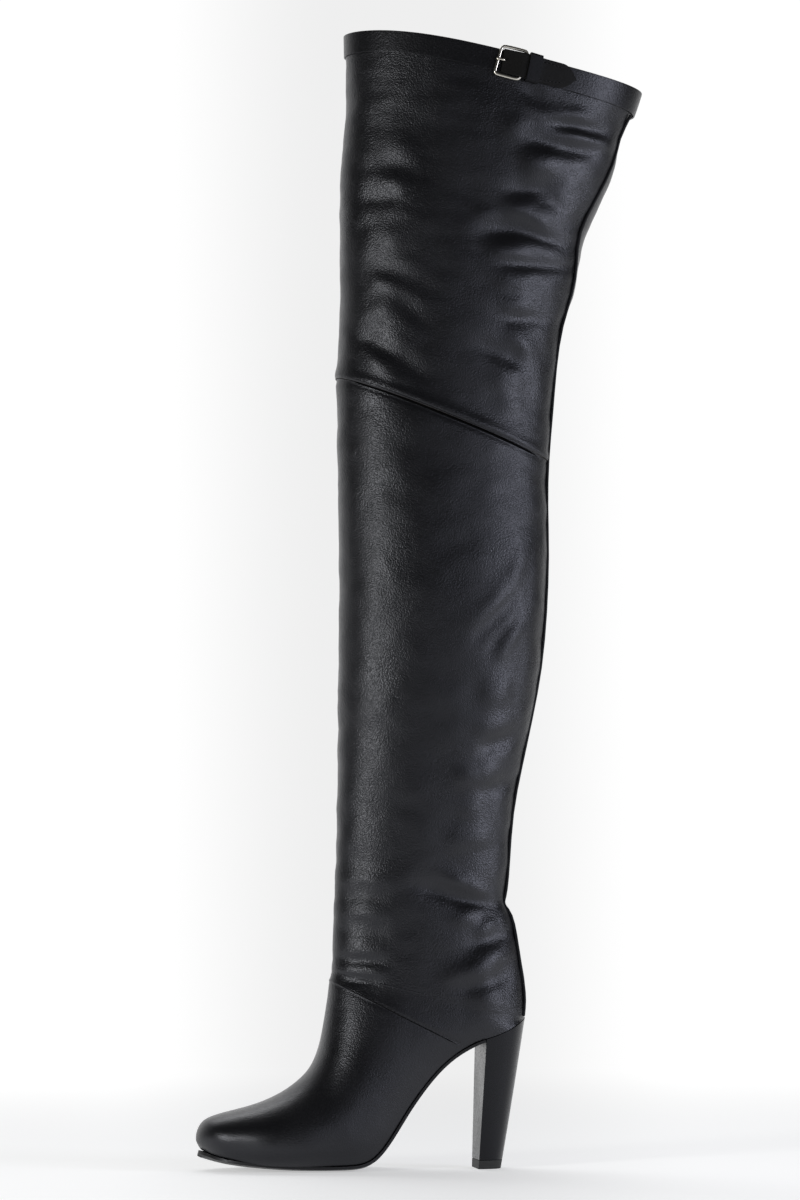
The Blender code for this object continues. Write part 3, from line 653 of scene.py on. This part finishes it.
def slack(place):
    """The small uneven swell of soft leather at a place, none on the firm foot."""
    soft = min(max((place[2] - FIRM_HEIGHT) / SOFT_SPAN, 0.0), 1.0)
    spot = Vector((place[0], place[1], place[2] * SLACK_SQUEEZE)) / SLACK_SIZE
    # two layers of noise, the second half as large and half as high as the first
    return SLACK_HEIGHT * soft * noise.fractal(spot, 1.0, 2.0, 2)


# %% [markdown]
# ### Skin and wall
# A shell is hollow: an outer skin, an inner wall and the rims between them. The rims are sharp,
# so the skin is found by walking from face to face until an edge turns too far. The creases move
# the skin, and each point of the wall goes with the nearest point of the skin, which keeps the
# leather as thick as it was.

# %% Press creases into a shell
def outer_faces(mesh, sharp=60):
    """The faces of the outer skin, spread from its widest face up to the sharp rims."""
    shape = bmesh.new()
    shape.from_mesh(mesh)
    shape.faces.ensure_lookup_table()
    start = max(shape.faces, key=lambda face: face.calc_center_median().y)
    found = {start.index}
    waiting = [start]
    while waiting:
        face = waiting.pop()
        for edge in face.edges:
            if edge.calc_face_angle(math.pi) < math.radians(sharp):
                for other in edge.link_faces:
                    if other.index not in found:
                        found.add(other.index)
                        waiting.append(other)
    shape.free()
    return found


def press_creases(piece, creases):
    """Moves the outer skin in and out along its normals, and the inner wall with it."""
    mesh = piece.data
    count = len(mesh.vertices)
    places = np.empty(count * 3)
    mesh.vertices.foreach_get("co", places)
    places = places.reshape(-1, 3)
    normals = np.array([vertex.normal for vertex in mesh.vertices])
    inner = np.zeros(count, dtype=bool)
    for face in mesh.polygons:
        if face.material_index:
            inner[list(face.vertices)] = True
    lift = sum(crease_lift(places, crease) for crease in creases)
    lift += [slack(place) for place in places]
    moves = normals * lift[:, None]
    outer_numbers = np.flatnonzero(~inner)
    finder = KDTree(len(outer_numbers))
    for number in outer_numbers:
        finder.insert(places[number], int(number))
    finder.balance()
    for number in np.flatnonzero(inner):
        moves[number] = moves[finder.find(places[number])[1]]
    mesh.vertices.foreach_set("co", (places + moves).ravel())
    mesh.update()


# %% [markdown]
# ### Finer faces and a smooth ankle
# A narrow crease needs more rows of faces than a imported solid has. Cutting only the steep edges
# doubles the rows and leaves the columns as they are. Around the ankle the sections of the solid
# follow each other in small ripples, which would show in the shine, so the skin there is
# smoothed before the creases are pressed in.

# %% Cut rows and ease the ankle
EASE_LOW = 0.080
EASE_HIGH = 0.200
EASE_ROUNDS = 8


def cut_rows(piece, lowest, steepness=0.75):
    """Halves the steep edges above a height, so that the rows of faces are twice as many."""
    pick(piece)
    bpy.ops.object.mode_set(mode="EDIT")
    bpy.ops.mesh.select_mode(type="EDGE")
    bpy.ops.mesh.select_all(action="DESELECT")
    bpy.ops.object.mode_set(mode="OBJECT")
    points = piece.data.vertices
    for edge in piece.data.edges:
        start, end = (points[number].co for number in edge.vertices)
        span = end - start
        edge.select = min(start.z, end.z) > lowest and abs(span.z) > steepness * span.length
    bpy.ops.object.mode_set(mode="EDIT")
    bpy.ops.mesh.subdivide(number_cuts=1)
    bpy.ops.mesh.select_mode(type="FACE")
    bpy.ops.object.mode_set(mode="OBJECT")


def ease(piece):
    """Smooths small ripples out of the outer skin of the ankle, away from the rims."""
    pick(piece)
    held = set()
    for face in piece.data.polygons:
        if face.material_index:
            held.update(face.vertices)
    bpy.ops.object.mode_set(mode="EDIT")
    bpy.ops.mesh.select_mode(type="VERT")
    bpy.ops.mesh.select_all(action="DESELECT")
    bpy.ops.object.mode_set(mode="OBJECT")
    for vertex in piece.data.vertices:
        vertex.select = EASE_LOW < vertex.co.z < EASE_HIGH and vertex.index not in held
    bpy.ops.object.mode_set(mode="EDIT")
    bpy.ops.mesh.vertices_smooth(factor=0.5, repeat=EASE_ROUNDS)
    bpy.ops.mesh.select_mode(type="FACE")
    bpy.ops.object.mode_set(mode="OBJECT")


# %% [markdown]
# ### The two shells
# The skin gets the calf and the rest of the shell its lining. Then the shell is refined, eased
# and creased, in this order, because a crease can only be as fine as the faces it is pressed
# into. The rows of the leg are cut only above the ankle, to keep the number of faces in bounds.

# %% Make both shells
RIM_BEVEL = 0.35 * MM
RIM_TURN = 60
THIGH_ROWS_FROM = 0.0
LEG_ROWS_FROM = 0.165


def make_shell(node, name, lowest):
    """A hollow leather panel with its lining inside."""
    piece = merged_copy(node, name)
    for finish in (calf, lining):
        piece.data.materials.append(finish)
    outside = outer_faces(piece.data)
    for face in piece.data.polygons:
        face.material_index = 0 if face.index in outside else 1
    round_off(piece, RIM_BEVEL, 1, RIM_TURN)
    cut_rows(piece, lowest)
    round_off(piece, 0, 1)
    ease(piece)
    press_creases(piece, CREASES)
    hand_over(piece, "upper_leather", node)
    return piece


thigh = make_shell("thigh_shaft", "thigh_panel", THIGH_ROWS_FROM)
leg = make_shell("upper", "leg_and_foot", LEG_ROWS_FROM)

# %% [markdown]
# ## Seams
# Two seams cross the boot, one over the knee and one over the instep. At each the upper panel's
# edge is folded under and sewn to the lower one. Folds, the dark cords of painted shade below
# them, and stitches all follow the leather: a ray is cast at it from each side for every point of
# the line. Where a ray meets flat little faces the line would wobble, so each point is averaged
# with its neighbours.

# %% Follow the leather
SEAMS = (
    # name, radius of fold and of seam shade, start x z, middle x z, end x z, in millimetres
    ("knee", 0.50, 1.10, -8, 551.6, -82, 522.2, -156, 493.2),
    ("vamp", 0.28, 0.38, -9, 128.2, -50, 106.4, -93, 85.0),
)
RUN_STEPS = 260
RUN_REACH = 8
FAR_OUT = 0.2


def corners_of(numbers):
    """The start, middle and end of a line, from six numbers in millimetres."""
    return [Vector(numbers[at:at + 2]) * MM for at in (0, 2, 4)]


def evened(run):
    """The run with every point and normal averaged over its neighbours on both sides."""
    even = []
    for number in range(len(run)):
        reach = min(RUN_REACH, number, len(run) - 1 - number)
        near = run[number - reach:number + reach + 1]
        place = sum((spot for spot, _ in near), Vector()) / len(near)
        even.append((place, sum((normal for _, normal in near), Vector()).normalized()))
    return even


def run_on(pieces, start, middle, end, rise, side):
    """Points on the pieces' skin, with their normals, along a line on one side of the boot."""
    run = []
    for share in np.linspace(0, 1, RUN_STEPS):
        spot = start.lerp(middle, share * 2) if share < 0.5 else middle.lerp(end, share * 2 - 1)
        origin = Vector((spot.x, FAR_OUT * side, spot.y + rise))
        hits = [piece.ray_cast(origin, Vector((0, -side, 0))) for piece in pieces]
        found = [hit for hit in hits if hit[0] and hit[2].y * side > 0]
        if found:
            nearest = max(found, key=lambda hit: hit[1].y * side)
            run.append((nearest[1], nearest[2]))
    return evened(run)


print("seams:", ", ".join(row[0] for row in SEAMS))

# %% [markdown]
# ### Stitches
# A stitch is a short length of waxed thread, pulled into the leather at both ends. One is made
# from a ball that is stretched in edit mode, and it is copied along the row. Each copy is turned
# to the way ahead, and a third of its thickness lies in the leather.

# %% Sew a row
STITCH_LENGTH = 1.9 * MM
STITCH_GAP = 0.9 * MM
THREAD = 0.22 * MM


def spaced(run, step):
    """Points of the run at even distances, each with its normal and the way ahead."""
    places, travelled, due = [], 0.0, step / 2
    for (start, normal), (end, _) in zip(run, run[1:]):
        length = (end - start).length
        while due <= travelled + length and length:
            places.append((start.lerp(end, (due - travelled) / length), normal,
                           (end - start).normalized()))
            due += step
        travelled += length
    return places


def join(pieces, name):
    """Joins the pieces into one object."""
    bpy.ops.object.select_all(action="DESELECT")
    for piece in pieces:
        piece.select_set(True)
    bpy.context.view_layer.objects.active = pieces[0]
    bpy.ops.object.join()
    bpy.context.object.name = name
    return bpy.context.object


def one_stitch():
    """A short length of thread along X, pulled in at both ends."""
    bpy.ops.object.select_all(action="DESELECT")
    bpy.ops.mesh.primitive_uv_sphere_add(segments=8, ring_count=6, radius=1.0)
    bpy.ops.object.mode_set(mode="EDIT")
    bpy.ops.transform.resize(value=(STITCH_LENGTH / 2, THREAD, THREAD))
    bpy.ops.object.mode_set(mode="OBJECT")
    bpy.ops.object.shade_smooth()
    return bpy.context.object


def sew(name, run):
    """A row of stitches along the run."""
    model = one_stitch()
    copies = []
    for place, normal, ahead in spaced(run, STITCH_LENGTH + STITCH_GAP):
        stitch = model.copy()
        stitch.data = model.data.copy()
        bpy.context.scene.collection.objects.link(stitch)
        across = normal.cross(ahead).normalized()
        turn = Matrix((ahead, across, ahead.cross(across))).transposed().to_4x4()
        stitch.data.transform(Matrix.Translation(place + normal * THREAD / 3) @ turn)
        copies.append(stitch)
    bpy.data.objects.remove(model)
    return join(copies, name)


# %% [markdown]
# ### Cords
# A fold, or a dark cord of painted shade, is a curve with a round section, turned into a mesh.
# Its ends are capped, and it thins out towards them, so that it seems to run into the leather.

# %% Lay a cord
END_SHARE = 0.15
END_RADIUS = 0.25


def lay_cord(name, run, radius, sunk=0.0):
    """A round cord laid along the run, sunk into the skin, that thins out at both ends."""
    line = bpy.data.curves.new(name, "CURVE")
    line.dimensions = "3D"
    line.bevel_depth = radius
    line.bevel_resolution = 1
    line.use_fill_caps = True
    spline = line.splines.new("POLY")
    spline.points.add(len(run) - 1)
    for number, (point, (place, normal)) in enumerate(zip(spline.points, run)):
        point.co = (*(place - normal * sunk), 1.0)
        share = number / (len(run) - 1)
        point.radius = min(1.0, END_RADIUS + min(share, 1 - share) / END_SHARE)
    cord = bpy.data.objects.new(name, line)
    bpy.context.scene.collection.objects.link(cord)
    pick(cord)
    bpy.ops.object.convert(target="MESH")
    bpy.ops.object.shade_smooth()
    return bpy.context.object


# %% [markdown]
# ### Both seams
# The fold is a thin round cord that catches the light, laid half into the leather. Below it a
# dark cord, laid deeper, is the painted shade of the seam's gap. A row of stitches runs beside
# them, just above the fold.

# %% Sew the seams
STITCH_RISE = 1.9 * MM

bpy.context.view_layer.update()
for seam, fold, seam_shade, *numbers in SEAMS:
    corners = corners_of(numbers)
    folds, seam_shades, rows = [], [], []
    for side in (1, -1):
        folds.append(lay_cord("fold", run_on((thigh, leg), *corners, fold * MM, side), fold * MM))
        # the painted shade of the seam: a dark cord below the fold
        below = run_on((thigh, leg), *corners, -seam_shade * MM, side)
        seam_shades.append(lay_cord("seam_shade", below, seam_shade * MM, seam_shade * MM / 2))
        rows.append(sew("row", run_on((thigh, leg), *corners, STITCH_RISE, side)))
    wear(join(folds, seam + "_fold"), edge_calf, "upper_leather")
    wear(join(seam_shades, seam + "_seam_shade"), painted_shade_calf, "upper_leather")
    wear(join(rows, seam + "_stitches"), thread, "upper_leather")

# %% [markdown]
# ## Trim
# The band, the back seam, the strap and its keeper are cut from a smoother part of the skin.
# Their solids already have the right shape, so each copy only has its edges rounded. The piping
# of the back seam lies over leather that the creases have moved, so it is swelled a little, to
# stay above every ridge, and pushed in, to leave no gap beside a trough.

# %% Band, seam, strap and keeper
TRIMS = (
    # solid, piece, bevel in millimetres, levels of subdivision, leather
    ("top_band", "collar_band", 0.25, 2, trim_calf),
    ("back_seam", "back_piping", 0.2, 1, piping_calf),
    ("strap", "buckle_strap", 0.3, 2, strap_calf),
    ("keeper_loop", "strap_keeper", 0.25, 2, piping_calf),
)
PIPING_SWELL = 0.45 * MM
PIPING_SINK = 1.3 * MM


def swell(piece):
    """Thickens the piece and pushes it forward, into the leather."""
    pick(piece)
    bpy.ops.object.mode_set(mode="EDIT")
    bpy.ops.mesh.select_all(action="SELECT")
    bpy.ops.transform.shrink_fatten(value=PIPING_SWELL)
    bpy.ops.transform.translate(value=(PIPING_SINK, 0.0, 0.0))
    bpy.ops.object.mode_set(mode="OBJECT")


trims = {}
for node, name, width, levels, finish in TRIMS:
    piece = merged_copy(node, name)
    round_off(piece, width * MM, levels)
    if name == "back_piping":
        swell(piece)
    wear(piece, finish, "upper_leather", node)
    trims[name] = piece

# %% [markdown]
# ## Stitches of the strap
# The strap is two layers of leather, sewn together along both edges of its tail. The thread is
# pulled into a shallow groove. The rows are made like those of the seams, by rays cast at the
# strap, and the shade in each groove is painted: a dark cord, sunk until only its top shows.

# %% Sew the strap
STRAP_ROWS = (
    # start x z, middle x z, end x z in millimetres
    (-141.5, 769.2, -151, 767.5, -160, 764.8),
    (-141.0, 757.2, -150, 755.2, -160, 754.6),
)
# the radius of the dark cord of painted shade in each groove, and how deep it is sunk
GROOVE = 0.35 * MM
GROOVE_SINK = GROOVE * 0.7

bpy.context.view_layer.update()
rows = []
groove_shades = []
for numbers in STRAP_ROWS:
    run = run_on((trims["buckle_strap"],), *corners_of(numbers), 0.0, 1)
    rows.append(sew("row", run))
    groove_shades.append(lay_cord("groove_shade", run, GROOVE, GROOVE_SINK))
wear(join(rows, "strap_stitches"), thread, "upper_leather")
wear(join(groove_shades, "strap_groove_shades"), painted_shade_calf, "upper_leather")

# %% [markdown]
# ## Sole, heel and insole
# The sole is hard leather, dyed black and waxed at its edge. The block heel is covered in
# glazed calf, which is smooth enough to mirror the floor. The insole is a thin leather sock.
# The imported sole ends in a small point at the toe. The real one is trimmed round, so the
# copy is filled out beside the point.

# %% Sole, heel, tip and insole
UNDERFOOT = (
    # solid, piece, bevel in millimetres, levels of subdivision, material, slot
    ("outsole", "leather_sole", 0.4, 2, sole_edge, "sole_leather"),
    ("heel", "covered_heel", 0.5, 2, glazed, "heel_leather"),
    ("heel_tip", "rubber_tip", 0.4, 2, rubber, "tip_rubber"),
    ("insole", "sock_lining", 0.3, 1, lining, "insole_leather"),
)
TIP_FILL = 1.3 * MM
TIP_HALF = 5.5 * MM
TIP_FROM = 0.078
TIP_FULL = 0.084


def round_tip(piece):
    """Fills out the front edge of the sole on both sides of its tip."""
    # the fourth power fills each side evenly, and drops to nothing only at its two ends
    for vertex in piece.data.vertices:
        aside = (abs(vertex.co.y) - TIP_HALF) / TIP_HALF
        share = min(max((vertex.co.x - TIP_FROM) / (TIP_FULL - TIP_FROM), 0.0), 1.0)
        vertex.co.x += TIP_FILL * max(1 - aside ** 4, 0.0) * share


for node, name, width, levels, finish, slot in UNDERFOOT:
    piece = merged_copy(node, name)
    if name == "leather_sole":
        round_tip(piece)
    round_off(piece, width * MM, levels)
    wear(piece, finish, slot, node)

# %% [markdown]
# ## Buckle
# The frame and its prong are bent from round wire. Their solids are round already, so one level
# of subdivision is enough to smooth them.

# %% Buckle
for node, name in (("buckle_frame", "nickel_frame"), ("buckle_prong", "nickel_prong")):
    piece = merged_copy(node, name)
    round_off(piece, 0.0, 1)
    wear(piece, nickel, "buckle_metal", node)
